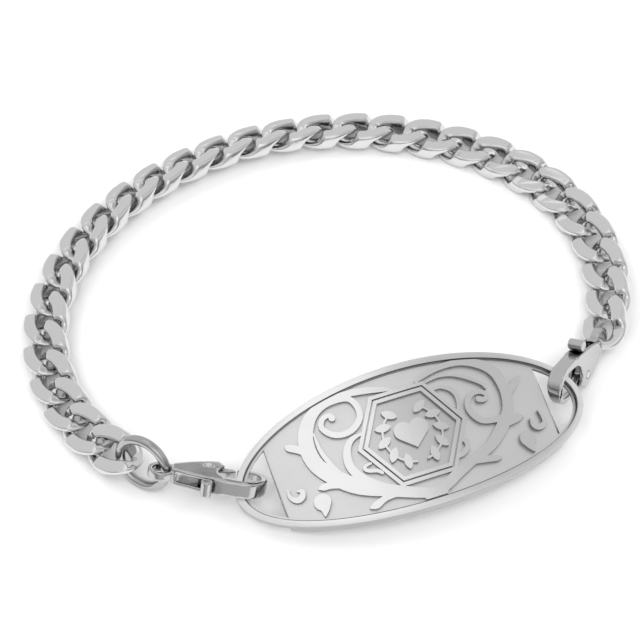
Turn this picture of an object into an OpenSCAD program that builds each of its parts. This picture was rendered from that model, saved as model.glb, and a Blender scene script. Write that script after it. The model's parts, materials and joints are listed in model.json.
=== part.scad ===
// Medical alert bracelet: a curved oval plate with a raised scroll pattern, held at both
// ends by a lobster clasp, and closed by a twisted, flattened curb chain.
// It lies on a table as a closed loop. The origin is on the table, under the middle.

/* [Curb chain] */
// Number of links
link_count = 29; // [26:1:32]
// Outer length of one link
link_l = 8.3; // [8.2:0.02:8.4]
// Outer width of one link
link_w = 5.9; // [5.8:0.05:6.2]
// Fullness of a link's corners: 1 is an oval, less is squarer
link_corner = 0.85; // [0.82:0.01:0.92]
// Thickness of the pressed chain
link_t = 2.2; // [2.15:0.05:2.35]
// Width of a link's wire along its sides, seen from above
wire_w_side = 1.95; // [1.7:0.05:2]
// Width of a link's wire round its ends
wire_w_end = 1.6; // [1.54:0.01:1.62]
// Thickness of the wire along a link's sides
wire_t_side = 1.8; // [1.5:0.05:1.85]
// Thickness of the wire round a link's ends
wire_t_end = 1.15; // [0.9:0.05:1.2]
// Play between the end wires of two hooked links
link_play = 0.38; // [0.34:0.02:0.46]
// Clear height where a strand passes over its neighbour's
cross_gap = 0.55; // [0.5:0.02:0.65]
// Length of the loop divided by its breadth
loop_ratio = 1.2; // [1:0.02:1.3]
// Direction of the loop's long axis, in degrees from X
loop_turn = 17.8; // [0:0.5:30]
// How far the chain's faces lean outwards, in degrees
link_lean = 20; // [10:1:25]
// Lean of the first link, which passes through the right clasp's eye
first_lean = -34; // [-38:1:-30]
// Change of lean from each link to the next, in degrees
lean_step = 4; // [3:0.5:5]
// Height that the chain's last joint rises to, where the standing ring holds it
end_lift = 1.2; // [0.8:0.1:1.4]
// Number of links over which the chain rises
lift_links = 4; // [3:1:6]
// Slack of the first link on the right clasp's eye
rim_slack = 0.3; // [0.25:0.05:0.4]
// Slack of the last link on the ring
ring_slack = 0.4; // [0.3:0.05:0.5]

/* [Plate] */
// Length of the plate along its curve
plate_l = 44.4; // [43:0.1:46]
// Width of the plate
plate_w = 18.2; // [17.5:0.1:19]
// Thickness of the plate
plate_t = 1.2; // [1:0.05:1.4]
// Radius that the plate is bent to
bend_r = 68; // [60:1:90]
// Height of the raised pattern and rim
relief_h = 0.4; // [0.3:0.05:0.4]
// Width of the raised rim
rim_w = 0.75; // [0.6:0.05:1]
// Width of the groove inside the rim
groove_w = 0.22; // [0.15:0.01:0.3]
// Depth of the groove inside the rim
groove_d = 0.2; // [0.1:0.05:0.3]
// Width of the bar outside each end slot
bar_w = 1.25; // [1.1:0.05:1.3]
// Thickness of the bar outside each end slot, with its rim
bar_t = 0.85; // [0.75:0.05:0.9]
// Distance of the slot's straight edge from the plate's end
slot_l = 4.8; // [4.4:0.1:5.2]
// Radius of the six-sided frame, to its corners
frame_r = 6.8; // [6.4:0.1:7]
// Height of the plate's middle above the table
plate_z = 6.35; // [6.1:0.05:6.8]
// Turn of the plate's long axis, in degrees from X
plate_turn = 19.6; // [15:0.5:25]
// Lean of the plate towards the front edge, in degrees
plate_lean = 14.2; // [12:0.5:18]
// Rise of the plate's right end, in degrees
plate_rise = 1.2; // [0:0.1:2]

/* [Jump ring] */
// Outer diameter of the jump ring
ring_d = 7.5; // [7.2:0.1:8]
// Wire diameter of the jump ring
ring_wire = 1.1; // [1:0.05:1.15]

/* [Clasps] */
// Thickness of the cheeks
cheek_t = 2.1; // [2:0.05:2.3]
// Thickness of the hook's band
band_t = 1.9; // [1.8:0.05:2]
// Thickness of the hook's tip
tip_t = 1; // [0.9:0.05:1.2]
// Thickness of the eye
eye_t = 1.1; // [1:0.05:1.2]
// Outer radius of the eye
eye_r = 1.7; // [1.65:0.05:1.8]
// Radius of the hole in the eye
eye_hole_r = 1.15; // [1.1:0.05:1.2]
// Outer radius of the hook's end
hook_r = 2.45; // [2.4:0.05:2.6]
// Inner radius of the hook's end
mouth_r = 1.65; // [1.6:0.05:1.7]
// Thickness of the lever
lever_t = 0.9; // [0.8:0.05:1]
// Gap between the lever and each cheek
lever_gap = 0.1; // [0.06:0.01:0.15]
// Diameter of the pivot pin
pin_d = 0.9; // [0.8:0.05:1]
// Radial gap round the pivot pin
pin_gap = 0.03; // [0.02:0.01:0.05]

/* [Hidden] */
$fn = 96;

// General helpers
function unit(v) = v / norm(v);
function flat_unit(angle) = [cos(angle), sin(angle), 0];
function turn_x(a, p) = [p[0], p[1] * cos(a) - p[2] * sin(a), p[1] * sin(a) + p[2] * cos(a)];
function turn_y(a, p) = [p[0] * cos(a) + p[2] * sin(a), p[1], p[2] * cos(a) - p[0] * sin(a)];
function turn_z(a, p) = [p[0] * cos(a) - p[1] * sin(a), p[0] * sin(a) + p[1] * cos(a), p[2]];
function turned(angles, p) = turn_z(angles[2], turn_y(angles[1], turn_x(angles[0], p)));

// Plate: its own frame has X along the length, Y across, and Z out of the face
plate_half_l = bend_r * sin(plate_l / 2 / bend_r * 180 / PI);
plate_half_w = plate_w / 2;
plate_angles = [plate_lean, -plate_rise, plate_turn];
plate_middle = [11.06, -22.3, plate_z];
function sag(x) = bend_r - sqrt(bend_r * bend_r - x * x);
function on_plate(x, y, rise) = plate_middle + turned(plate_angles, [x, y, rise - sag(x)]);
function bar_point(angle) =
    on_plate((plate_half_l - bar_w / 2) * cos(angle), (plate_half_w - bar_w / 2) * sin(angle),
        relief_h - bar_t / 2);

// Clasp: its own frame has X from the eye to the hook, and Y towards the lever's jaw
eye_x = eye_r;
pivot = [7, 1.45];
seat_x = 11.05;
hook_x = 11.65;
hook_y = 0.05;
back_r = 26.3;
neck_x = 6.4;
mouth_inner = [9.9, 0.35];
mouth_outer = [hook_x + 0.05, 0.1];
gate_gap = [[8.3, 0.35], [10.4, 1], [10.4, 3.5], [8.3, 3.5]];
belly_r = 13.4;
belly_middle = [10.5, 2.95 - belly_r];
cheek_r = 4.1;
cheek_middle = [5.3, -0.2];
cheek_l = 6.2;
cheek_overlap = 0.6;
taper_y = -0.9;
lever_room = [[3.5, -4], [8, -4], [8, -0.75], [9.3, -0.6], [9.3, 4], [3.5, 4]];
hub_r = pin_d / 2 + 0.6;
jaw = [[6.6, 2.4], [8.6, 2.4], [10.1, 2.3], [10.28, 1.75], [8.5, 1.2], [7, 0.6]];
arm = [[6.2, 2.1], [7.7, 1.2], [7.6, -2.6], [6.8, -2.6], [6.4, 0]];
knob = [7.2, -2.82];
knob_r = 0.68;
knob_l = 1.9;
left_heading = -6;
left_roll = -30;
right_heading = -122;
right_roll = -72;
reach = seat_x - eye_x;
left_bar_angle = 168;
right_bar_angle = 14;
left_seat = bar_point(left_bar_angle);
right_seat = bar_point(right_bar_angle);

// Jump ring: it stands on the table, through the left clasp's eye and the last link
ring_r = (ring_d - ring_wire) / 2;
ring_facing = 239.5;
ring_tip_back = 15;
ring_right = flat_unit(ring_facing + 90);
ring_up = [-sin(ring_tip_back) * cos(ring_facing), -sin(ring_tip_back) * sin(ring_facing), cos(ring_tip_back)];
ring_z = ring_r * cos(ring_tip_back) + ring_wire / 2;
ring_eye_angle = 6;
eye_slack = 0.45;
left_eye_z = ring_z + ring_r * sin(ring_eye_angle) * cos(ring_tip_back);  // before the slack
left_pitch = asin((left_seat[2] - left_eye_z) / (reach - eye_slack));
left_axis = turned([0, -left_pitch, left_heading], [1, 0, 0]);
left_eye = left_seat - reach * left_axis;
ring_middle = left_eye + eye_slack * left_axis
    - ring_r * (cos(ring_eye_angle) * ring_right + sin(ring_eye_angle) * ring_up);

// Chain: one link in its own frame has X along the chain and Z out of its face
half_l = (link_l - wire_w_end) / 2;
half_w = (link_w - wire_w_side) / 2;
link_pitch = link_l - 2 * wire_w_end - link_play;
strand_t = (link_t - cross_gap) / 2;
strand_z = (link_t - strand_t) / 2;
function full(x) = sign(x) * pow(abs(x), link_corner);
cross_y = half_w * full(sqrt(1 - pow(link_pitch / 2 / half_l, 2 / link_corner)));
twist_share = 1.1;
end_twist = twist_share * asin(strand_z / cross_y) * half_l / (link_pitch / 2);
link_steps = 16;
strand_spread = 0.55;  // how far the thin crossing part of a strand reaches
wire_section = [[0.5, 0], [0.3, 0.5], [-0.3, 0.5], [-0.5, 0], [-0.3, -0.5], [0.3, -0.5]];
wire_sides = len(wire_section);
function wire_centre(a) = turn_x(-end_twist * full(cos(a)), [half_l * full(cos(a)), half_w * full(sin(a)), 0]);
function wire_base_t(a) = wire_t_end * pow(cos(a), 2) + wire_t_side * pow(sin(a), 2);
function wire_height(a) = wire_base_t(a) - (wire_base_t(a) - strand_t) * pow(abs(sin(2 * a)), strand_spread);
function wire_width(a) = wire_w_end * pow(cos(a), 2) + wire_w_side * pow(sin(a), 2);
function pressed(p) = [p[0], p[1], max(-link_t / 2, min(link_t / 2, p[2]))];
function wire_ring(a) =
    let (along = unit(wire_centre(a + 0.1) - wire_centre(a - 0.1)),
         up = unit([0, 0, 1] - along[2] * along),
         side = cross(along, up))
    [for (s = wire_section) pressed(wire_centre(a) + s[0] * wire_width(a) * side + s[1] * wire_height(a) * up)];
link_points = [for (i = [0:link_steps - 1]) for (p = wire_ring(i * 360 / link_steps)) p];
function ring_faces(steps, sides) =
    [for (i = [0:steps - 1]) for (k = [0:sides - 1])
        let (j = (i + 1) % steps, m = (k + 1) % sides)
        for (face = [[i * sides + k, i * sides + m, j * sides + m],
                     [i * sides + k, j * sides + m, j * sides + k]]) face];

// A link leans about its own length, and lies with its lowest point on the table.
// The last few rise towards the ring. Joint 0 is the clasp's, joint link_count the ring's.
function lean(i) = min(link_lean, first_lean + lean_step * (i - 1));
function link_rest_z(i) = -min([for (p = link_points) turn_x(lean(i), p)[2]]);
function joint_lift(i) = end_lift * pow(max(0, (i - link_count + lift_links) / lift_links), 2);
function link_rise(i) = asin((joint_lift(i) - joint_lift(i - 1)) / link_pitch);

// The chain's route is part of an oval, sized so that the links just close the loop
function squeeze(p) = let (q = turn_z(-loop_turn, p)) [q[0], q[1] * loop_ratio];
function unsqueeze(p) = turn_z(loop_turn, [p[0], p[1] / loop_ratio, 0]);
function oval_centre(a, b, r) =
    let (mid = (a + b) / 2, half = norm(b - a) / 2, across = unit(b - a))
    mid + sqrt(r * r - half * half) * [across[1], -across[0]];
function oval_point(c, r, angle) = unsqueeze(c + r * [cos(angle), sin(angle)]);
halvings = 24;
function next_angle(c, r, a, low, high, n) =
    let (mid = (low + high) / 2)
    n == 0 ? mid
    : norm(oval_point(c, r, mid) - oval_point(c, r, a)) > link_pitch
        ? next_angle(c, r, a, low, mid, n - 1)
        : next_angle(c, r, a, mid, high, n - 1);
function walk(c, r, a, n) =
    n == 0 ? [a] : concat([a], walk(c, r, next_angle(c, r, a, a, a + 20, halvings - 6), n - 1));
function angle_of(v) = atan2(v[1], v[0]);
function full_sweep(c, a, b) =
    let (sweep = angle_of(b - c) - angle_of(a - c)) sweep < 0 ? sweep + 360 : sweep;
function swept(c, r, a) =
    let (angles = walk(c, r, angle_of(a - c), link_count)) angles[link_count] - angles[0];
function loop_r(a, b, low, high, n) =
    let (mid = (low + high) / 2, c = oval_centre(a, b, mid))
    n == 0 ? mid
    : swept(c, mid, a) > full_sweep(c, a, b)
        ? loop_r(a, b, mid, high, n - 1)
        : loop_r(a, b, low, mid, n - 1);
function route(start, finish) =
    let (a = squeeze(start), b = squeeze(finish),
         r = loop_r(a, b, norm(b - a) / 2 + 0.01, link_count * link_pitch / 3, halvings),
         c = oval_centre(a, b, r))
    [for (angle = walk(c, r, angle_of(a - c), link_count)) oval_point(c, r, angle)];

// The first joint lies round the right eye's rim, the last round the jump ring's wire
eye_wall = eye_r - eye_hole_r;
first_z = link_rest_z(1);
last_z = link_rest_z(link_count) + end_lift;
right_pitch = asin((right_seat[2] - first_z) / reach);
right_axis = turned([0, -right_pitch, right_heading], [1, 0, 0]);
right_eye = right_seat - reach * right_axis;
right_rim = right_eye - (eye_r - eye_wall / 2) * right_axis;
ring_link_angle = 180 - asin((last_z - ring_middle[2]) / ring_r / cos(ring_tip_back));
ring_touch = ring_middle + ring_r * (cos(ring_link_angle) * ring_right + sin(ring_link_angle) * ring_up);
start_heading = 78;
finish_heading = -37;
first_joint = right_rim - ((eye_wall + link_play) / 2 + rim_slack) * flat_unit(start_heading);
last_joint = ring_touch + ((ring_wire + link_play) / 2 + ring_slack) * flat_unit(finish_heading);
joints = route(first_joint, last_joint);
function link_middle(i) =
    (joints[i - 1] + joints[i]) / 2 + [0, 0, link_rest_z(i) + (joint_lift(i - 1) + joint_lift(i)) / 2];
function link_heading(i) = angle_of(joints[i] - joints[i - 1]);
function placed_link(i) =
    [for (p = link_points) link_middle(i) + turned([lean(i), -link_rise(i), link_heading(i)], p)];

// The origin lies under the middle of everything
all_links = [for (i = [1:link_count]) for (p = placed_link(i)) p];
front_y = min([for (a = [180:5:360]) on_plate(plate_half_l * cos(a), plate_half_w * sin(a), 0)[1]]);
middle_x = (min([for (p = all_links) p[0]]) + max([for (p = all_links) p[0]])) / 2;
middle_y = (front_y + max([for (p = all_links) p[1]])) / 2;
origin = [middle_x, middle_y, 0];

module placed(point, angles) {
    translate(point - origin) rotate(angles) children();
}

module one_link(i) {
    color("silver")
        placed(link_middle(i), [lean(i), -link_rise(i), link_heading(i)])
        polyhedron(link_points, ring_faces(link_steps, wire_sides), convexity = 4);
}

module jump_ring() {
    color("silver")
        placed(ring_middle, [90 - ring_tip_back, 0, ring_facing + 90])
        rotate_extrude()
        translate([ring_r, 0])
        circle(d = ring_wire);
}

// Clasp, drawn lying flat in its own frame
module slab(thickness) {
    translate([0, 0, -thickness / 2]) linear_extrude(thickness) children();
}

module disc(point, r) {
    translate(point) circle(r);
}

module hook_outline() {
    difference() {
        union() {
            disc([hook_x, hook_y], hook_r);
            intersection() {
                disc([hook_x, hook_y + back_r - hook_r], back_r);
                polygon([[neck_x, -hook_r], [hook_x, -hook_r], [hook_x, 0], [neck_x, 0]]);
            }
        }
        mouth();
        polygon(gate_gap);
    }
}

module mouth() {
    disc(mouth_inner, mouth_r);
    disc(mouth_outer, mouth_r);
    polygon([mouth_inner - [0, mouth_r], mouth_outer - [0, mouth_r],
             mouth_outer + [0, mouth_r], mouth_inner + [0, mouth_r]]);
}

module cheek_outline() {
    difference() {
        intersection() {
            disc([hook_x, hook_y + back_r - hook_r], back_r);
            disc(belly_middle, belly_r);
            disc(cheek_middle, cheek_r);
            translate([2 * eye_r - cheek_overlap, -cheek_r]) square([cheek_l, 2 * cheek_r]);
        }
        mouth();
    }
}

// The hook gets thinner from its band to its tip
module tapered_hook() {
    intersection() {
        slab(band_t) hook_outline();
        rotate([90, 0, 90])
            linear_extrude(20)
            polygon([[-2 * hook_r, -band_t / 2], [taper_y, -band_t / 2], [hook_r, -tip_t / 2],
                     [hook_r, tip_t / 2], [taper_y, band_t / 2], [-2 * hook_r, band_t / 2]]);
    }
}

module clasp_body() {
    difference() {
        union() {
            slab(eye_t) disc([eye_x, 0], eye_r);
            slab(cheek_t) cheek_outline();
            tapered_hook();
        }
        slab(2 * cheek_t) disc([eye_x, 0], eye_hole_r);
        slab(2 * cheek_t) disc(pivot, pin_d / 2 + pin_gap);
        slab(lever_t + 2 * lever_gap) polygon(lever_room);
    }
}

module lever_body() {
    difference() {
        union() {
            slab(lever_t) disc(pivot, hub_r);
            slab(lever_t) polygon(jaw);
            slab(lever_t) polygon(arm);
            slab(knob_l) disc(knob, knob_r);
        }
        slab(2 * lever_t) disc(pivot, pin_d / 2 + pin_gap);
    }
}

module pin_body() {
    slab(cheek_t) disc(pivot, pin_d / 2);
}

module at_left_clasp() {
    placed(left_eye, [0, -left_pitch, left_heading])
        rotate([left_roll, 0, 0])
        translate([-eye_x, 0, 0])
        children();
}

module at_right_clasp() {
    placed(right_eye, [0, -right_pitch, right_heading])
        rotate([right_roll, 0, 0])
        translate([-eye_x, 0, 0])
        children();
}

module clasp_left() {
    color("gainsboro") at_left_clasp() clasp_body();
}

module lever_left() {
    color("gainsboro") at_left_clasp() lever_body();
}

module pin_left() {
    color("gray") at_left_clasp() pin_body();
}

module clasp_right() {
    color("gainsboro") at_right_clasp() clasp_body();
}

module lever_right() {
    color("gainsboro") at_right_clasp() lever_body();
}

module pin_right() {
    color("gray") at_right_clasp() pin_body();
}

// Plate, drawn with its outer face's highest line on the X axis
module bent_layer(bottom, top) {
    translate([0, plate_w, -bend_r]) rotate([90, 0, 0]) difference() {
        cylinder(r = bend_r + top, h = 2 * plate_w, $fn = 360);
        translate([0, 0, -1]) cylinder(r = bend_r + bottom, h = 2 * plate_w + 2, $fn = 360);
    }
}

module through() {
    translate([0, 0, -10]) linear_extrude(20) children();
}

module oval(inset) {
    polygon([for (a = [0:3:357]) [(plate_half_l - inset) * cos(a), (plate_half_w - inset) * sin(a)]]);
}

// The parts of the plate beyond each slot's straight edge
module end_zones() {
    for (side = [-1, 1])
        translate([side * (1.5 * plate_half_l - slot_l), 0])
            square([plate_half_l, 2 * plate_w], center = true);
}

module slots() {
    intersection() {
        oval(bar_w);
        end_zones();
    }
}

// Each scroll is a line of [across, up, width], in hundredths of the plate's half length,
// half width and half width
scrolls = [
    // main vine on the left, from the foot up to the rim and round into its spiral
    [[4, -85, 10], [-7, -79, 14], [-21, -65, 16], [-37, -46, 21], [-47, -26, 21], [-55, 0, 20], [-57, 25, 20],
     [-55, 47, 19], [-50, 65, 16], [-43, 75, 12], [-35, 77, 9], [-27, 73, 8], [-24, 58, 8],
     [-25, 43, 8], [-30, 32, 8], [-36, 29, 8], [-42, 34, 8], [-46, 47, 7], [-44, 58, 7],
     [-40, 60, 6], [-39, 55, 9]],
    // branch from the rim to the frame's top, then the slim leaf beside the vine
    [[-43, 77, 5], [-36, 80, 7], [-27, 80, 9], [-18, 77, 9], [-11, 73, 8], [-4, 68, 4]],
    [[-39, -38, 3], [-45, -19, 5], [-49, 2, 6], [-51, 22, 5], [-51, 43, 2]],
    // crescent and small curl beside the frame
    [[-27, 22, 3], [-33, 19, 7], [-37, 9, 9], [-39, -7, 11], [-38, -23, 11], [-33, -42, 13], [-26, -57, 14]],
    [[-28, -20, 3], [-31, -21, 4], [-32, -25, 5], [-30, -29, 5], [-26, -32, 5], [-24, -37, 4]],
    // three curled tips of the left vine, and the comma by the slot
    [[-58, 23, 11], [-62, 31, 10], [-66, 37, 9], [-67, 40, 4]],
    [[-47, -33, 11], [-52, -30, 9], [-56, -29, 9], [-58, -29, 4]],
    [[-19, -67, 13], [-27, -70, 8], [-33, -75, 10], [-36, -76, 4]],
    [[-74, -16, 2], [-74, -26, 5], [-71, -33, 8], [-68, -31, 8], [-67, -24, 6], [-69, -22, 3]],
    // main vine on the right, over the top to the frame, and its spiral
    [[-5, -85, 12], [5, -79, 14], [15, -67, 14], [25, -56, 13], [37, -44, 14], [47, -24, 16], [54, -4, 15],
     [57, 18, 15], [57, 38, 15], [55, 55, 15], [49, 69, 13], [39, 78, 9], [28, 79, 8],
     [19, 75, 7], [11, 68, 4]],
    [[52, -11, 11], [45, -11, 8], [38, -7, 9], [34, 7, 9], [34, 21, 8], [38, 31, 7], [43, 32, 7],
     [46, 25, 6], [44, 20, 7], [41, 22, 9]],
    [[16, 64, 3], [24, 67, 4], [32, 64, 5], [40, 54, 6], [46, 42, 5], [47, 35, 3]],
    [[19, 51, 3], [23, 52, 5], [28, 45, 7], [30, 34, 7], [29, 22, 5], [27, 13, 3]],
    [[22, -23, 4], [25, -28, 7], [25, -37, 7], [21, -44, 7], [18, -47, 3]],
    // three curled tips of the right vine, and the comma by the slot
    [[59, 23, 11], [63, 30, 10], [66, 36, 8], [68, 40, 4]],
    [[50, -19, 11], [55, -17, 11], [59, -15, 10], [61, -15, 4]],
    [[25, -57, 10], [33, -60, 9], [38, -62, 8], [40, -63, 4]],
    [[65, -21, 3], [65, -31, 6], [68, -35, 8], [72, -31, 7], [72, -21, 4], [71, -12, 2]]];
scroll_steps = 3;
function blend(a, b, c, d, t) =
    ((2 * b) + (c - a) * t + (2 * a - 5 * b + 4 * c - d) * t * t + (3 * b - a - 3 * c + d) * t * t * t) / 2;
function smooth_line(rows) =
    let (n = len(rows) - 1)
    [for (k = [0:n * scroll_steps])
        let (i = min(n - 1, floor(k / scroll_steps)),
             row = blend(rows[max(0, i - 1)], rows[i], rows[i + 1], rows[min(n, i + 2)],
                         k / scroll_steps - i))
        [row[0] * plate_half_l / 100, row[1] * plate_half_w / 100, row[2] * plate_half_w / 100]];

function round_end(row, side) =
    [for (a = [45:45:135]) [row[0], row[1]] + cos(a) * side + sin(a) * [side[1], -side[0]]];

module scroll(rows) {
    line = smooth_line(rows);
    last = len(line) - 1;
    sides = [for (k = [0:last])
        let (before = line[max(0, k - 1)], after = line[min(last, k + 1)],
             along = unit([after[0] - before[0], after[1] - before[1]]))
        line[k][2] / 2 * [-along[1], along[0]]];
    polygon(concat([for (k = [0:last]) [line[k][0], line[k][1]] + sides[k]],
                   round_end(line[last], sides[last]),
                   [for (k = [last:-1:0]) [line[k][0], line[k][1]] - sides[k]],
                   round_end(line[0], -sides[0])));
}

module drops() {
    for (side = [-1, 1]) {
        disc([side * 0.59 * plate_half_l, -0.47 * plate_half_w], 0.11 * plate_half_w);
        scroll([[59 * side, -50, 21], [59 * side, -57, 12], [60 * side, -65, 3]]);
    }
}

// Six-sided frame with two ridges
frame_middle = [-0.2, 0.15];
ridge_w = 0.45;
ridge_gap = 0.2;

module six_sided(inset) {
    circle(frame_r - inset / cos(30), $fn = 6);
}

module ridge(inset) {
    difference() {
        six_sided(inset);
        six_sided(inset + ridge_w);
    }
}

// Emblem: a heart between two leafy sprigs
emblem_r = frame_r * cos(30) - 2 * ridge_w - ridge_gap;
heart_lobe = 0.24 * emblem_r;
heart_drop = 0.38 * emblem_r;
lobe_steps = 14;
sprig_r = 0.74 * emblem_r;
leaf_l = 0.26 * emblem_r;
leaf_count = 5;
first_leaf = -62;
leaf_step = 30;
leaf_tilt = 25;
stem_w = 0.24;

module heart() {
    spread = 0.83 * heart_lobe;
    rise = heart_lobe / 2;
    slope = angle_of([spread, rise + heart_drop]) - asin(heart_lobe / norm([spread, rise + heart_drop]));
    first = slope - 90;
    last = acos(-spread / heart_lobe);
    lobe = [for (k = [0:lobe_steps])
        let (a = first + (last - first) * k / lobe_steps)
        [spread, rise] + heart_lobe * [cos(a), sin(a)]];
    polygon(concat([[0, -heart_drop]], lobe,
                   [for (k = [lobe_steps - 1:-1:0]) [-lobe[k][0], lobe[k][1]]]));
}

module leaf() {
    intersection() {
        disc([0, 0.6 * leaf_l], leaf_l);
        disc([0, -0.6 * leaf_l], leaf_l);
    }
}

module sprig(side) {
    for (k = [0:leaf_count - 1]) {
        angle = first_leaf + k * leaf_step;
        translate(sprig_r * [side * cos(angle), sin(angle)])
            rotate(90 - side * (90 - angle) - side * leaf_tilt)
            leaf();
    }
    intersection() {
        difference() {
            circle(sprig_r + stem_w / 2);
            circle(sprig_r - stem_w / 2);
        }
        polygon([[0, 0], emblem_r * [side * 0.2, -1.2], emblem_r * [side * 1.5, -1.2],
                 emblem_r * [side * 1.5, 0.9], emblem_r * [side * 0.6, 0.9]]);
    }
}

module raised_pattern() {
    difference() {
        oval(0);
        oval(rim_w);
    }
    difference() {
        intersection() {
            union() {
                for (rows = scrolls) scroll(rows);
                drops();
            }
            oval(rim_w + groove_w);
        }
        translate(frame_middle) six_sided(0.01);
    }
    translate(frame_middle) {
        ridge(0);
        ridge(ridge_w + ridge_gap);
        heart();
        for (side = [-1, 1]) sprig(side);
    }
}

module groove() {
    difference() {
        oval(rim_w);
        oval(rim_w + groove_w);
    }
}

module plate() {
    color("lightgray") placed(plate_middle, plate_angles)
        difference() {
            union() {
                intersection() {
                    bent_layer(-plate_t, 0);
                    through() oval(0);
                }
                intersection() {
                    bent_layer(-plate_t / 2, relief_h);
                    through() raised_pattern();
                }
            }
            through() slots();
            intersection() {
                bent_layer(-groove_d, 2 * relief_h);
                through() groove();
            }
            intersection() {
                bent_layer(-2 * plate_t, relief_h - bar_t);
                through() end_zones();
            }
        }
}

for (i = [1:link_count]) one_link(i);
jump_ring();
plate();
clasp_left();
lever_left();
pin_left();
clasp_right();
lever_right();
pin_right();
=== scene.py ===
# %% [markdown]
# # A medical alert bracelet in polished steel
# The bracelet is a closed loop that lies on a table: an oval plate with raised scrolls, a
# lobster clasp at each end of it, and a flattened curb chain. This script starts from the
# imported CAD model, which fixes every size and place, and gives each piece its finished look.

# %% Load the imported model
import json
import math

import bpy
import numpy as np
from mathutils import Matrix, Vector
from mathutils.bvhtree import BVHTree

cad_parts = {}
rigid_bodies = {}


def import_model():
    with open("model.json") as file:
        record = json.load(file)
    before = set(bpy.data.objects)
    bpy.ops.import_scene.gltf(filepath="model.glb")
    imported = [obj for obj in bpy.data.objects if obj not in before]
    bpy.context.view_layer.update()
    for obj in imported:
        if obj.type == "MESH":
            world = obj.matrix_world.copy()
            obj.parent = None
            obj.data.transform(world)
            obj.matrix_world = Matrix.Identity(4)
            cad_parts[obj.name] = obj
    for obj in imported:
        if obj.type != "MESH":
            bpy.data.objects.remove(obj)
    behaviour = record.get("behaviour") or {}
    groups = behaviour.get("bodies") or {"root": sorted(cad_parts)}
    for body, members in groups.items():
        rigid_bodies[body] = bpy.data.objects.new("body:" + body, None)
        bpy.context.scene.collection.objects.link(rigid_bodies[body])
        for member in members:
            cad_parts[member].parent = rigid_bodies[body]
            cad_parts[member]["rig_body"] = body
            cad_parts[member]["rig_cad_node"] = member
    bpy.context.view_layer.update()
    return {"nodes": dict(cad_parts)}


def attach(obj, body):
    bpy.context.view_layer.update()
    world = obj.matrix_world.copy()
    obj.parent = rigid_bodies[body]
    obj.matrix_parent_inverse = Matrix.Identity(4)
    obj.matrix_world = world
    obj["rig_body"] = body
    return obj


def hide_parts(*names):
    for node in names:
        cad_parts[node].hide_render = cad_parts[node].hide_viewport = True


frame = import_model()
nodes = frame["nodes"]
MM = 0.001  # one millimetre, in metres
links = sorted(name for name in nodes if name.startswith("link_"))
print(len(nodes), "nodes,", len(links), "of them links")

# %% [markdown]
# ## Small helpers
# Operators act on whatever is selected, and loading leaves everything selected. So each step
# first selects just the piece that it works on. A piece that keeps the CAD shape starts as a
# copy of its node. The node's mesh is loose triangles, so the copy is merged first. Where
# pieces crowd together less light gets in, so a last helper measures how hidden each vertex is
# and keeps the result as an attribute of the piece. The finishes read it as painted shade,
# which darkens the colour where the light doesn't get in.

# %% Select one piece
def pick(piece):
    bpy.ops.object.select_all(action="DESELECT")
    piece.select_set(True)
    bpy.context.view_layer.objects.active = piece


# %% Read a CAD node's points
def points_of(node_name):
    return np.array([vertex.co for vertex in nodes[node_name].data.vertices])


# %% Copy a CAD node
SAME_POINT = 0.002 * MM  # corners this near to each other are one


def copy_of(node_name, piece_name):
    piece = nodes[node_name].copy()
    piece.data = nodes[node_name].data.copy()
    piece.name = piece_name
    piece.parent = None
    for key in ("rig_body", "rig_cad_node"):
        if key in piece:
            del piece[key]
    bpy.context.collection.objects.link(piece)
    pick(piece)
    bpy.ops.object.mode_set(mode="EDIT")
    bpy.ops.mesh.select_all(action="SELECT")
    bpy.ops.mesh.remove_doubles(threshold=SAME_POINT)
    bpy.ops.mesh.customdata_custom_splitnormals_clear()
    bpy.ops.object.mode_set(mode="OBJECT")
    return piece


# %% Apply a modifier
def modify(piece, kind, **settings):
    pick(piece)
    modifier = piece.modifiers.new(kind.lower(), kind)
    for name, value in settings.items():
        setattr(modifier, name, value)
    bpy.ops.object.modifier_apply(modifier=modifier.name)


# %% Give a piece the soft edges of a tumbled casting
def tumble(piece, voxel, rounds):
    """Remeshes a sharp piece into small even faces and lets its edges settle."""
    modify(piece, "REMESH", mode="VOXEL", voxel_size=voxel, adaptivity=0, use_smooth_shade=True)
    modify(piece, "SMOOTH", factor=0.5, iterations=rounds)
    bpy.ops.object.shade_smooth()
    print(piece.name, "has", len(piece.data.polygons), "faces")


# %% Rays that feel for neighbours, spread evenly round a half dome
RAYS = 14
DOME_FOOT = 0.25  # the rays start above this share of the dome's height
GOLDEN_TURN = math.pi * (3 - math.sqrt(5))
feelers = []
for number in range(RAYS):
    up = DOME_FOOT + (1 - DOME_FOOT) * (number + 0.5) / RAYS
    flat = math.sqrt(1 - up * up)
    turn = number * GOLDEN_TURN
    feelers.append(Vector((flat * math.cos(turn), flat * math.sin(turn), up)))
print(RAYS, "rays, the lowest", round(math.degrees(math.asin(feelers[0].z))), "degrees up")

# %% Measure how hidden each vertex is among its neighbours, for painted shade
CLEAR_OF_SKIN = 0.12 * MM  # a ray starts this far out, so it doesn't hit its own surface
SHARE_GAIN = 1.5  # two thirds of the rays stopped count as fully hidden


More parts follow.
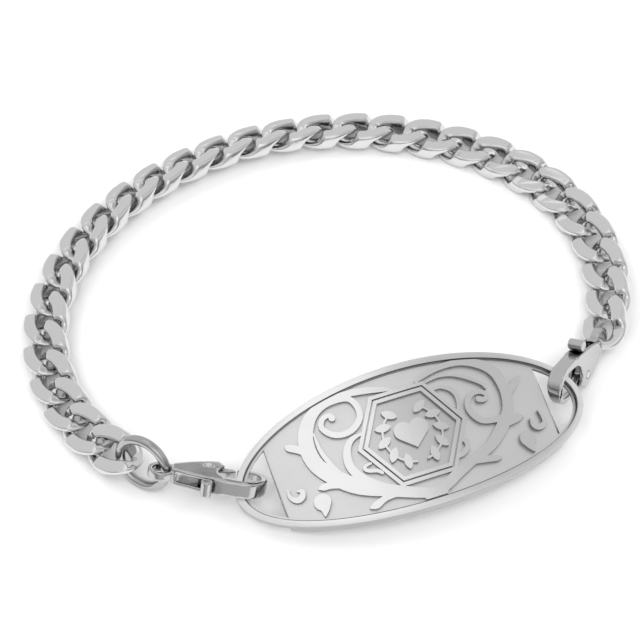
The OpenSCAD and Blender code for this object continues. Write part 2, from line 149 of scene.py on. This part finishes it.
def note_painted_shade(piece, node_names, reach):
    """Sends short rays out from every vertex and notes the share that hit something."""
    corners, faces = [], []
    for name in node_names:
        mesh = nodes[name].data
        first = len(corners)
        corners += [vertex.co.copy() for vertex in mesh.vertices]
        faces += [[first + index for index in face.vertices] for face in mesh.polygons]
    crowd = BVHTree.FromPolygons(corners, faces)
    # The share is kept as painted shade: the finishes darken the colour where it is high.
    attribute = piece.data.attributes.new("painted_shade", "FLOAT", "POINT")
    shares = []
    for vertex in piece.data.vertices:
        turn = vertex.normal.to_track_quat("Z", "Y")
        start = vertex.co + vertex.normal * CLEAR_OF_SKIN
        found = [crowd.ray_cast(start, turn @ feeler, reach)[0] for feeler in feelers]
        hits = sum(place is not None for place in found)
        shares.append(min(1, SHARE_GAIN * hits / RAYS))
        attribute.data[vertex.index].value = shares[-1]
    print(piece.name, "is hidden by", round(float(np.mean(shares)), 2), "on average")


# %% [markdown]
# ## Finishes
# Polished steel is a mirror with faint wear: a clean metal with low roughness, broken by a very
# fine grain and a slow cloudiness. The plate's sunk ground is pressed with a fine grain too, but
# a deep one, so it is rougher and scatters the light. Both effects are noise, so they are made
# once as a node group, and each finish sets its own strength. Steel has no colour of its own
# here, so each finish is one grey: brighter where the polish is high. Some greys are painted
# shade: the walls of the relief are painted dark, where the metal mirrors only itself, the
# plate's outer edge is painted darker, and the clasps and the ring are darker than the chain.

# %% Wear group: a cloudy roughness and a fine bump height
CLOUD_SCALE = 300.0
CLOUD_DETAIL = 4
GRAIN_DETAIL = 3
CLOUD_SPAN = (0.3, 0.7)  # the noise lies mostly between these
WEAR_DEFAULTS = {"Grain scale": 9000.0, "Cloud scale": CLOUD_SCALE,
                 "Low roughness": 0.1, "High roughness": 0.2}


def wear_group():
    group = bpy.data.node_groups.new("steel_wear", "ShaderNodeTree")
    for name, default in WEAR_DEFAULTS.items():
        socket = group.interface.new_socket(name, in_out="INPUT", socket_type="NodeSocketFloat")
        socket.default_value = default
    for name in ("Roughness", "Height"):
        group.interface.new_socket(name, in_out="OUTPUT", socket_type="NodeSocketFloat")
    add, join = group.nodes.new, group.links.new
    inputs, outputs = add("NodeGroupInput"), add("NodeGroupOutput")
    place = add("ShaderNodeTexCoord")
    clouds, grain = add("ShaderNodeTexNoise"), add("ShaderNodeTexNoise")
    clouds.inputs["Detail"].default_value = CLOUD_DETAIL
    grain.inputs["Detail"].default_value = GRAIN_DETAIL
    spread = add("ShaderNodeMapRange")
    spread.inputs["From Min"].default_value, spread.inputs["From Max"].default_value = CLOUD_SPAN
    for noise, scale in ((clouds, "Cloud scale"), (grain, "Grain scale")):
        join(place.outputs["Object"], noise.inputs["Vector"])
        join(inputs.outputs[scale], noise.inputs["Scale"])
    join(clouds.outputs["Fac"], spread.inputs["Value"])
    join(inputs.outputs["Low roughness"], spread.inputs["To Min"])
    join(inputs.outputs["High roughness"], spread.inputs["To Max"])
    join(spread.outputs["Result"], outputs.inputs["Roughness"])
    join(grain.outputs["Fac"], outputs.inputs["Height"])
    return group


steel_wear = wear_group()
print("the wear group has", len(steel_wear.nodes), "nodes")

# %% A steel finish, with painted shade where the piece's own shade attribute is high
BUMP_DEPTH = 0.02 * MM  # height of the grain at full strength


def steel(name, grey, roughness, grain, bump, painted_shade_grey=None):
    material = bpy.data.materials.new(name)
    material.use_nodes = True
    tree = material.node_tree
    shader = tree.nodes["Principled BSDF"]
    shader.inputs["Base Color"].default_value = (grey, grey, grey, 1)
    shader.inputs["Metallic"].default_value = 1
    wear = tree.nodes.new("ShaderNodeGroup")
    wear.node_tree = steel_wear
    wear.inputs["Grain scale"].default_value = grain
    wear.inputs["Cloud scale"].default_value = CLOUD_SCALE
    wear.inputs["Low roughness"].default_value = roughness[0]
    wear.inputs["High roughness"].default_value = roughness[1]
    relief = tree.nodes.new("ShaderNodeBump")
    relief.inputs["Strength"].default_value = bump
    relief.inputs["Distance"].default_value = BUMP_DEPTH
    tree.links.new(wear.outputs["Roughness"], shader.inputs["Roughness"])
    tree.links.new(wear.outputs["Height"], relief.inputs["Height"])
    tree.links.new(relief.outputs["Normal"], shader.inputs["Normal"])
    # Painted shade: the colour turns darker where the attribute marks a hidden spot.
    if painted_shade_grey:
        painted_shade = tree.nodes.new("ShaderNodeAttribute")
        painted_shade.attribute_name = "painted_shade"
        shade_mix = tree.nodes.new("ShaderNodeMix")
        shade_mix.data_type = "RGBA"
        shade_mix.inputs["A"].default_value = (grey, grey, grey, 1)
        shade_mix.inputs["B"].default_value = (painted_shade_grey, painted_shade_grey, painted_shade_grey, 1)
        tree.links.new(painted_shade.outputs["Fac"], shade_mix.inputs["Factor"])
        tree.links.new(shade_mix.outputs["Result"], shader.inputs["Base Color"])
    print(name, "is grey", grey, "with roughness", roughness)
    return material


# %% Finishes of the chain, the ring and the clasps
# Painted shade: the last grey of each finish is the colour of its shaded hidden spots.
chain_steel = steel("chain_steel", grey=0.70, roughness=(0.07, 0.13), grain=2600, bump=0.1,
                    painted_shade_grey=0.33)
# Painted shade: the clasps are darker than the chain, so they don't mirror the table white.
clasp_steel = steel("clasp_steel", grey=0.54, roughness=(0.08, 0.14), grain=2200, bump=0.12,
                    painted_shade_grey=0.28)
# Painted shade: the ring is darker than the chain, so it doesn't mirror the table white.
shaded_ring_steel = steel("shaded_ring_steel", grey=0.46, roughness=(0.06, 0.12), grain=2200, bump=0.1)
pin_steel = steel("pin_steel", grey=0.70, roughness=(0.2, 0.3), grain=2600, bump=0.2)

# %% Finishes of the plate: its tops, ground, walls, framed recess and outer edge
plate_polish = steel("plate_polish", grey=0.84, roughness=(0.2, 0.28), grain=3000, bump=0.2)
plate_ground = steel("plate_ground", grey=0.80, roughness=(0.38, 0.46), grain=5200, bump=0.9)
# Painted shade: the walls of the relief are painted very dark.
plate_wall_painted_shade = steel("plate_wall_painted_shade", grey=0.18, roughness=(0.25, 0.3), grain=3000, bump=0.2)
plate_recess = steel("plate_recess", grey=0.68, roughness=(0.3, 0.36), grain=5200, bump=0.6)
# Painted shade: the outer edge is painted darker than the tops and the ground.
plate_edge_painted_shade = steel("plate_edge_painted_shade", grey=0.46, roughness=(0.16, 0.22), grain=3000, bump=0.2)


# %% Give a piece its finish and its place
def finish_piece(piece, material, body, slot_name, *node_names):
    if material:
        piece.data.materials.clear()
        piece.data.materials.append(material)
    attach(piece, body)
    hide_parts(*node_names)


# %% [markdown]
# ## The curb chain
# A curb link is an oval of wire, twisted, pressed where its neighbour crosses it, and ground
# flat on both faces. The ground faces catch the light as bright slanted lozenges, with a
# thin bright edge round each. All links are alike, so one is modelled and the rest are
# copies. A torus is a closed tube with an even grid, so it is the start: each of its rings is
# moved onto the link's own line, and given the height that the wire has there. Two cuts then
# grind it flat. A bevel would run into the narrow corners of the cuts, so the edges are rounded
# by a fine remesh and a little smoothing instead. The inside of a link sees mostly its
# neighbours, so painted shade is put there, chosen by the way each part of the surface faces.

# %% Find how a link lies
def link_pose(name):
    """The link's own frame: X along it, Y across it, Z out of its face."""
    points = points_of(name)
    _, axes = np.linalg.eigh(np.cov((points - points.mean(0)).T))
    long_axis, wide_axis = Vector(axes[:, 2]), Vector(axes[:, 1])
    pose = Matrix((long_axis, wide_axis, long_axis.cross(wide_axis))).transposed().to_4x4()
    pose.translation = Vector(points.mean(0))
    return pose


back_to_origin = link_pose(links[0]).inverted()
first_points = np.array([back_to_origin @ v.co for v in nodes[links[0]].data.vertices])
LINK_L, LINK_W, LINK_T = np.ptp(first_points, axis=0)
print("a link is", (np.array([LINK_L, LINK_W, LINK_T]) / MM).round(2), "mm")

# %% The link's line: a twisted oval, swollen a little towards a rectangle
END_WIRE = 1.6 * MM
SIDE_WIRE = 1.95 * MM
HALF_L = (LINK_L - END_WIRE) / 2
HALF_W = 1.975 * MM
TWIST = math.radians(41.25)
LINE_SWELL = 0.85  # below 1, the oval is fuller at its corners


def swollen(x, power):
    """Keeps -1, 0 and 1, and moves what lies between outwards when the power is below 1."""
    return math.copysign(abs(x) ** power, x)


def on_line(angle):
    along = swollen(math.cos(angle), LINE_SWELL)
    across = HALF_W * swollen(math.sin(angle), LINE_SWELL)
    turn = -TWIST * along
    return Vector((HALF_L * along, across * math.cos(turn), across * math.sin(turn)))


print("the wire's line is", round(2 * HALF_L / MM, 2), "by", round(2 * HALF_W / MM, 2), "mm")


# %% A smooth step
def eased(x, start, end):
    share = min(1, max(0, (x - start) / (end - start)))
    return share * share * (3 - 2 * share)


# %% Height of the wire's upper side
END_HEIGHT = 1.15 * MM
SIDE_HEIGHT = 1.8 * MM
CROSSING_HEIGHT = 0.825 * MM
PRESS_WIDTH = 0.55  # below 1, the pressed stretches are wider
RISE_DEGREES = (72, 86)  # where the strand comes up to the ground face
FALL_DEGREES = (150, 172)  # and where it leaves it
ABOVE_CUT = 0.22 * MM  # the strand reaches at least this far past the cut
OVER = LINK_T / 2 + ABOVE_CUT


def wire_top(angle):
    """The strand that passes over reaches past the ground face, so the cut makes it flat."""
    tall = END_HEIGHT * math.cos(angle) ** 2 + SIDE_HEIGHT * math.sin(angle) ** 2
    pressed = abs(math.sin(2 * angle)) ** PRESS_WIDTH
    height = tall - (tall - CROSSING_HEIGHT) * pressed
    top = on_line(angle).z + height / 2
    degrees = math.degrees(angle) % 180
    passes_over = eased(degrees, *RISE_DEGREES) * (1 - eased(degrees, *FALL_DEGREES))
    return top + max(0, OVER - top) * passes_over


# %% Bend a torus into one link
RINGS, SIDES = 72, 16
SMALL_TURN = 0.001  # two points this near give the line's direction
WIRE_SWELL = 0.8  # below 1, the wire is squarer than round
bpy.ops.object.select_all(action="DESELECT")
bpy.ops.mesh.primitive_torus_add(major_segments=RINGS, minor_segments=SIDES,
                                 major_radius=HALF_W, minor_radius=SIDE_WIRE / 2)
pattern = bpy.context.object
pattern.name = "link pattern"
for ring_number in range(RINGS):
    angle = 2 * math.pi * ring_number / RINGS
    middle = on_line(angle)
    along = on_line(angle + SMALL_TURN) - on_line(angle - SMALL_TURN)
    across = along.cross(Vector((0, 0, 1))).normalized()
    width = END_WIRE * math.cos(angle) ** 2 + SIDE_WIRE * math.sin(angle) ** 2
    top, bottom = wire_top(angle), -wire_top(-angle)
    for side_number in range(SIDES):
        turn = 2 * math.pi * side_number / SIDES
        out = swollen(math.cos(turn), WIRE_SWELL)
        rise = swollen(math.sin(turn), WIRE_SWELL)
        point = middle + across * (out * width / 2)
        point.z = middle.z + rise * (top - middle.z if rise > 0 else middle.z - bottom)
        pattern.data.vertices[ring_number * SIDES + side_number].co = point
print("bent link has", len(pattern.data.polygons), "faces")

# %% Grind both faces flat
bpy.ops.object.mode_set(mode="EDIT")
bpy.ops.mesh.select_all(action="SELECT")
bpy.ops.mesh.normals_make_consistent(inside=False)
for side in (1, -1):
    bpy.ops.mesh.select_all(action="SELECT")
    bpy.ops.mesh.bisect(plane_co=(0, 0, side * LINK_T / 2), plane_no=(0, 0, side),
                        use_fill=True, clear_outer=True)
bpy.ops.object.mode_set(mode="OBJECT")
print("cut link has", len(pattern.data.polygons), "faces")

# %% Round the edges of the ground faces
tumble(pattern, voxel=0.13 * MM, rounds=3)

# %% Paint shade on the inside of the link, where it faces its neighbours
INWARD_SPAN = (0.3, 1.0)  # how squarely it faces inwards, from no shade to full shade
painted_shade = pattern.data.attributes.new("painted_shade", "FLOAT", "POINT")
for vertex in pattern.data.vertices:
    outward = Vector((vertex.co.x, vertex.co.y, 0)).normalized()
    painted_shade.data[vertex.index].value = eased(-vertex.normal.dot(outward), *INWARD_SPAN)
print("the link's hollows are noted at", len(painted_shade.data), "vertices")

# %% Copy it along the chain
for name in links:
    link = pattern.copy()
    link.data = pattern.data.copy()
    link.name = "curb_" + name
    link.data.transform(link_pose(name))
    bpy.context.collection.objects.link(link)
    finish_piece(link, chain_steel, "bracelet", "chain_steel", name)
bpy.data.objects.remove(pattern)
print(len(links), "links are in place")

# %% [markdown]
# ## The jump ring
# The jump ring is a plain ring of round wire that joins the last link to the left clasp. A
# torus is the right primitive for it. Its radius and its wire are measured on the CAD ring, and
# the shortest axis of the CAD ring's points is the way it faces.

# %% Measure the ring
ring_points = points_of("jump_ring")
ring_middle = ring_points.mean(0)
_, ring_axes = np.linalg.eigh(np.cov((ring_points - ring_middle).T))
ring_reach = np.linalg.norm(ring_points - ring_middle, axis=1)
ring_wire = float(ring_reach.max() - ring_reach.min())
ring_r = float(ring_reach.max() + ring_reach.min()) / 2
print("ring radius", round(ring_r / MM, 2), "wire", round(ring_wire / MM, 2))

# %% Model the ring
bpy.ops.object.select_all(action="DESELECT")
bpy.ops.mesh.primitive_torus_add(major_radius=ring_r, minor_radius=ring_wire / 2,
                                 major_segments=96, minor_segments=20)
ring = bpy.context.object
ring.name = "wire_ring"
ring_pose = Vector(ring_axes[:, 0]).to_track_quat("Z", "Y").to_matrix().to_4x4()
ring_pose.translation = Vector(ring_middle)
ring.data.transform(ring_pose)
bpy.ops.object.shade_smooth()
finish_piece(ring, shaded_ring_steel, "bracelet", "chain_steel", "jump_ring")

# %% [markdown]
# ## The clasps
# The clasps are cast and tumbled, so every edge is rounded. The CAD bodies are right in shape
# but sharp, so a copy of each is remeshed into small even faces, and smoothing then rounds the
# edges evenly. The lever is a separate piece that turns on its pin. It is thinner, so it gets
# smaller faces and less smoothing. The inside of the body and the lever in its slot lie in each
# other's shade, so painted shade is put there, measured from the CAD pieces of the same clasp.

# %% Clasp bodies, levers and pins
SHADE_REACH = 1.4 * MM  # a neighbour further off gives no shade
for side in ("left", "right"):
    own = ["clasp_" + side, "lever_" + side, "pin_" + side]
    body = copy_of("clasp_" + side, "cast_clasp_" + side)
    tumble(body, voxel=0.11 * MM, rounds=10)
    note_painted_shade(body, own, SHADE_REACH)
    finish_piece(body, clasp_steel, "bracelet", "clasp_steel", "clasp_" + side)
    lever = copy_of("lever_" + side, "spring_lever_" + side)
    tumble(lever, voxel=0.09 * MM, rounds=5)
    note_painted_shade(lever, own, SHADE_REACH)
    finish_piece(lever, clasp_steel, "lever_" + side, "clasp_steel", "lever_" + side)
    pin = copy_of("pin_" + side, "rivet_" + side)
    tumble(pin, voxel=0.05 * MM, rounds=4)
    finish_piece(pin, pin_steel, "bracelet", "pin_steel", "pin_" + side)

# %% [markdown]
# ## The plate
# The plate is stamped: a rim, a groove, and scrolls that stand 0.4 mm above a grained ground.
# Their tops are polished, and the ground is not, and that contrast is what makes the pattern
# read. The shape comes from a copy of the CAD plate. A real plate is never sharp where a hand
# touches it, so its outline and the straight edge of each end slot are bevelled: the loose
# triangles there are dissolved into clean faces first, so that the bevel runs along one edge.
# The finishes are given face by face, from each face's height above the curved ground. The
# walls and the outer edge get darker greys: painted shade.

# %% The plate's own frame
PLATE_TURNS = {"X": 14.2, "Y": -1.2, "Z": 19.6}  # in degrees, as the plate lies
BEND_R = 68 * MM  # radius of the curve that it takes round a wrist
RELIEF = 0.4 * MM  # height of the scrolls above the ground
SLOT_L = 4.8 * MM  # from the plate's tip to the slot's straight edge
turn_x, turn_y, turn_z = (Matrix.Rotation(math.radians(degrees), 3, axis)
                          for axis, degrees in PLATE_TURNS.items())
plate_turn = np.array(turn_z @ turn_y @ turn_x)
flat_points = points_of("plate") @ plate_turn
plate_low, plate_high = flat_points.min(0), flat_points.max(0)
half_l, half_w, _ = (plate_high - plate_low) / 2
plate_middle = (plate_low + plate_high) / 2
plate_middle[2] = plate_high[2] - RELIEF
print("plate is", ((plate_high - plate_low) / MM).round(2), "mm")


# %% Where a point of the plate is
def on_plate(point):
    """The point in the plate's own frame: X along it, Y across it, Z out of its middle."""
    return np.array(point) @ plate_turn - plate_middle


def height_on_plate(point):
    """Height above the curved ground."""
    x, _, z = on_plate(point)
    return math.hypot(x, z + BEND_R) - BEND_R


def reach_on_plate(point):
    """How far out the point is: 0 in the middle, 1 on the outline."""
    x, y, _ = on_plate(point)
    return math.hypot(x / half_l, y / half_w)


def past_slot_line(point):
    """How far along the plate the point lies beyond the slots' straight edges."""
    return abs(on_plate(point)[0]) - (half_l - SLOT_L)


# %% Select faces or edges by a rule
def select_where(piece, kind, rule):
    pick(piece)
    bpy.ops.object.mode_set(mode="EDIT")
    bpy.ops.mesh.select_mode(type=kind)
    bpy.ops.mesh.select_all(action="DESELECT")
    bpy.ops.object.mode_set(mode="OBJECT")
    parts = piece.data.polygons if kind == "FACE" else piece.data.edges
    for part in parts:
        part.select = bool(rule(part))
    chosen = sum(part.select for part in parts)
    bpy.ops.object.mode_set(mode="EDIT")
    return chosen


# %% Dissolve triangles that lie in one plane
ONE_PLANE = math.radians(0.3)


def clean_faces(piece, rule):
    print(select_where(piece, "FACE", rule), "triangles to clean")
    bpy.ops.mesh.dissolve_limited(angle_limit=ONE_PLANE)
    bpy.ops.object.mode_set(mode="OBJECT")


# %% Round the edges that a rule chooses
def round_edges(piece, rule, offset):
    print(select_where(piece, "EDGE", rule), "edges to round")
    bpy.ops.mesh.bevel(offset=offset, segments=3, affect="EDGES", clamp_overlap=True)
    bpy.ops.object.mode_set(mode="OBJECT")


# %% Clean the rim
RIM_FROM = 0.93  # share of the way out to the outline
plate = copy_of("plate", "stamped_plate")
clean_faces(plate, lambda face: reach_on_plate(face.center) > RIM_FROM)

# %% Round the outline
OUTLINE_FROM = 0.992  # share of the way out
OUTLINE_ROUND = 0.26 * MM
SHARP = math.radians(40)  # at a sharp edge the normals differ by more than this
face_normals = {}
for face in plate.data.polygons:
    for key in face.edge_keys:
        face_normals.setdefault(key, []).append(face.normal.copy())


def ends_of(edge):
    return [plate.data.vertices[number].co for number in edge.vertices]


def is_outline(edge):
    normals = face_normals.get(edge.key, [])
    sharp = len(normals) == 2 and normals[0].angle(normals[1], 0) > SHARP
    return sharp and all(reach_on_plate(point) > OUTLINE_FROM for point in ends_of(edge))


round_edges(plate, is_outline, OUTLINE_ROUND)

# %% Round the straight edge of each end slot
END_FROM = -0.9 * MM  # the faces are cleaned from a little inside the straight edge
SLOT_ROUND = 0.35 * MM
LINE_WIDTH = 0.1 * MM  # an edge is on the line within this much
STEEPEST = 0.2  # and level up to this rise over its length
TOP_FROM = -0.2 * MM  # and at the top from this height


def is_slot_line(edge):
    """True for an edge on the slot's straight line that is level and at the top of its wall."""
    points = ends_of(edge)
    start, end = (on_plate(point) for point in points)
    near = all(abs(past_slot_line(point)) < LINE_WIDTH for point in points)
    level = abs(start[2] - end[2]) < STEEPEST * np.linalg.norm(start - end)
    on_top = min(height_on_plate(point) for point in points) > TOP_FROM
    return near and level and on_top


clean_faces(plate, lambda face: past_slot_line(face.center) > END_FROM)
round_edges(plate, is_slot_line, SLOT_ROUND)

# %% Smooth what is gently curved, and keep the relief's edges crisp
SMOOTH_BELOW = math.radians(25)
bpy.ops.object.shade_smooth_by_angle(angle=SMOOTH_BELOW)
print("plate has", len(plate.data.polygons), "faces")

# %% Choose a finish for each of its faces
FACES_UP = 0.8  # facing is 1 for a level face and 0 for an upright one
UPRIGHT = 0.5
GROUND_BAND = 0.04 * MM  # how far a face of the ground may lie from the ground's height
FRAME_R = 5.6 * MM  # the ground inside the frame lies within this radius
EDGE_FROM = 0.95  # share of the way out
face_finishes = (plate_polish, plate_ground, plate_wall_painted_shade, plate_recess, plate_edge_painted_shade)
POLISH, GROUND, WALL_SHADE, RECESS, EDGE = range(len(face_finishes))


def finish_of(face):
    x, y, _ = on_plate(face.center)
    height = height_on_plate(face.center)
    normal_x, normal_y, facing = np.array(face.normal) @ plate_turn
    outward = normal_x * x / half_l ** 2 + normal_y * y / half_w ** 2 > 0
    if facing > FACES_UP and abs(height) < GROUND_BAND:
        return RECESS if math.hypot(x, y) < FRAME_R else GROUND
    # Painted shade: outward faces at the outline get the darker edge grey.
    if outward and facing < FACES_UP and reach_on_plate(face.center) > EDGE_FROM:
        return EDGE
    # Painted shade: the upright walls of the relief get the very dark grey.
    if abs(facing) < UPRIGHT and height < RELIEF:
        return WALL_SHADE
    return POLISH


# %% Give its faces their finishes
plate.data.materials.clear()
for material in face_finishes:
    plate.data.materials.append(material)
counts = [0] * len(face_finishes)
for face in plate.data.polygons:
    face.material_index = finish_of(face)
    counts[face.material_index] += 1
print("plate faces: polished, ground, walls, recess, edge", counts)
finish_piece(plate, None, "bracelet", "plate_steel", "plate")

# %% [markdown]
# ## Table, light and camera
# A pale table, painted as a pool of light that is pale under the bracelet and greyer far away,
# and soft light from all round make bright steel look clean. Steel shows only what it mirrors,
# so the sky is not one flat white: it is bright behind and above and greyer on the camera's
# side. Three patches shape the shine. One low on the camera's side is bright, and the clasps'
# hooks mirror it. One up to the right is dim, for the plate's right half, and one overhead is
# bright, for its left half. The three soft lamps aren't mirrored by the steel: they only even
# out the light on the table. The camera looks down at about 51 degrees with a long lens.

# %% Table: a painted pool of light, pale under the bracelet and greyer far away
TABLE_SIZE = 3
TABLE_ROUGHNESS = 0.6
# From a distance in metres to a grey: painted shade further out, for darker reflections
TABLE_SHADE = {"From Min": 0.06, "From Max": 0.3, "To Min": 0.72, "To Max": 0.4}
bpy.ops.object.select_all(action="DESELECT")
bpy.ops.mesh.primitive_plane_add(size=TABLE_SIZE)
table = bpy.context.object
table.name = "table"
table_painted_light_pool = bpy.data.materials.new("table_painted_light_pool")
table_painted_light_pool.use_nodes = True
tree = table_painted_light_pool.node_tree
shader = tree.nodes["Principled BSDF"]
shader.inputs["Roughness"].default_value = TABLE_ROUGHNESS
place = tree.nodes.new("ShaderNodeTexCoord")
distance = tree.nodes.new("ShaderNodeVectorMath")
distance.operation = "LENGTH"
shade = tree.nodes.new("ShaderNodeMapRange")
for name, value in TABLE_SHADE.items():
    shade.inputs[name].default_value = value
tree.links.new(place.outputs["Object"], distance.inputs[0])
tree.links.new(distance.outputs["Value"], shade.inputs["Value"])
tree.links.new(shade.outputs["Result"], shader.inputs["Base Color"])
table.data.materials.append(table_painted_light_pool)
print("the table is", TABLE_SIZE, "m wide")

# %% Sky helpers: a smooth patch of brightness, and a product
world = bpy.data.worlds.new("studio")
bpy.context.scene.world = world
world.use_nodes = True
sky = world.node_tree
background = sky.nodes["Background"]
ray_direction = sky.nodes.new("ShaderNodeTexCoord")


def toward(direction, low, high, away, near):
    """A value that goes from away to near as a ray turns towards the direction.

    The change starts and ends where the cosine of the angle between them is low and high.
    """
    likeness = sky.nodes.new("ShaderNodeVectorMath")
    likeness.operation = "DOT_PRODUCT"
    likeness.inputs[1].default_value = Vector(direction).normalized()
    spread = sky.nodes.new("ShaderNodeMapRange")
    spread.interpolation_type = "SMOOTHSTEP"
    for name, value in (("From Min", low), ("From Max", high), ("To Min", away), ("To Max", near)):
        spread.inputs[name].default_value = value
    sky.links.new(ray_direction.outputs["Generated"], likeness.inputs[0])
    sky.links.new(likeness.outputs["Value"], spread.inputs["Value"])
    return spread.outputs["Result"]


def times(first, second):
    product = sky.nodes.new("ShaderNodeMath")
    product.operation = "MULTIPLY"
    sky.links.new(first, product.inputs[0])
    sky.links.new(second, product.inputs[1])
    return product.outputs["Value"]


# %% Sky: bright behind and above, greyer on the camera's side, with three patches
light = toward((0, 0.55, 0.83), low=-0.35, high=0.45, away=0.30, near=0.80)
bright_front = toward((0, -0.92, 0.38), low=0.75, high=0.98, away=1.0, near=2.2)
dim_right = toward((0.42, 0.28, 0.86), low=0.90, high=0.99, away=1.0, near=0.70)
bright_above = toward((-0.16, 0.10, 0.98), low=0.93, high=0.99, away=1.0, near=1.35)
for patch in (bright_front, dim_right, bright_above):
    light = times(light, patch)
sky.links.new(light, background.inputs["Color"])
background.inputs["Strength"].default_value = 1.0
print("the sky has", len(sky.nodes), "nodes")


# %% Soft lamps
def soft_lamp(name, place, size, power):
    lamp = bpy.data.lights.new(name, "AREA")
    lamp.shape = "RECTANGLE"
    lamp.size, lamp.size_y = size
    lamp.energy = power
    holder = bpy.data.objects.new(name, lamp)
    holder.location = place
    holder.rotation_euler = (-Vector(place)).to_track_quat("-Z", "Y").to_euler()
    holder.visible_glossy = False
    bpy.context.collection.objects.link(holder)
    print(name, "gives", power, "W")


soft_lamp("front_lamp", place=(0, -0.4, 0.6), size=(0.8, 0.5), power=4.2)
soft_lamp("left_lamp", place=(-0.45, 0.25, 0.6), size=(0.5, 0.5), power=1.9)
soft_lamp("right_lamp", place=(0.5, 0.1, 0.6), size=(0.4, 0.4), power=1.3)

# %% Plain tones, so that a white table comes out white
bpy.context.scene.view_settings.view_transform = "Standard"
print("tones are", bpy.context.scene.view_settings.view_transform)

# %% Camera
CAMERA_AT = (-1.08 * MM, -174.2 * MM, 218.3 * MM)
CAMERA_LOOKS = Vector((0, 0.6225, -0.7826))
LENS_MM, SENSOR_MM = 124.9, 36
camera = bpy.data.cameras.new("camera")
camera.lens = LENS_MM
camera.sensor_width = SENSOR_MM
camera_holder = bpy.data.objects.new("camera", camera)
camera_holder.location = CAMERA_AT
camera_holder.rotation_euler = CAMERA_LOOKS.to_track_quat("-Z", "Y").to_euler()
bpy.context.collection.objects.link(camera_holder)
bpy.context.scene.camera = camera_holder
print("the camera looks down at", round(math.degrees(math.asin(-CAMERA_LOOKS.z)), 1), "degrees")
